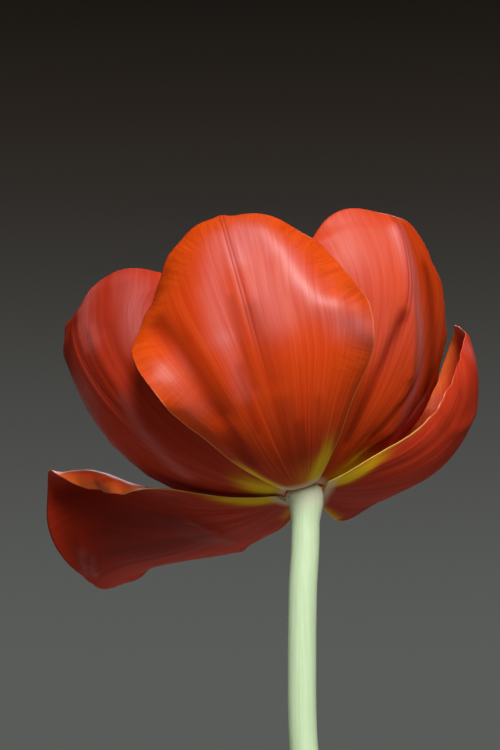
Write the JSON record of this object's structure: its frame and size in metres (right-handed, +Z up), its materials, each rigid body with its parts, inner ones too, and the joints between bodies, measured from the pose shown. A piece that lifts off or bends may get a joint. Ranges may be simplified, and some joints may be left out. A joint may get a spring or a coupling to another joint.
{
  "type": "tulip in vase",
  "caption": "Open red tulip with cupped petals, one petal fallen open, on a pale green stem with leaves, standing in a small round-bellied vase of water.",
  "frame": {"origin": "middle of the vase's foot, on the surface that it stands on", "axes": "+Z up along the vase's axis, -Y towards the side that the picture shows, +X to the viewer's right"},
  "size_m": [0.144, 0.126, 0.3266],
  "materials": {
    "glaze": "gloss",
    "water": "polished",
    "stem_green": "satin",
    "leaf_green": "satin",
    "petal_red": "satin",
    "stigma_cream": "matte",
    "anther_purple": "matte"
  },
  "bodies": {
    "root": {"vase": "glaze", "water": "water", "stem": "stem_green", "leaf_lower": "leaf_green", "leaf_upper": "leaf_green", "petal_outer_front": "petal_red", "petal_outer_right": "petal_red", "petal_outer_left": "petal_red", "petal_inner_right": "petal_red", "petal_inner_back": "petal_red", "petal_inner_left": "petal_red", "pistil": "stigma_cream", "stamens": "anther_purple"}
  },
  "joints": []
}
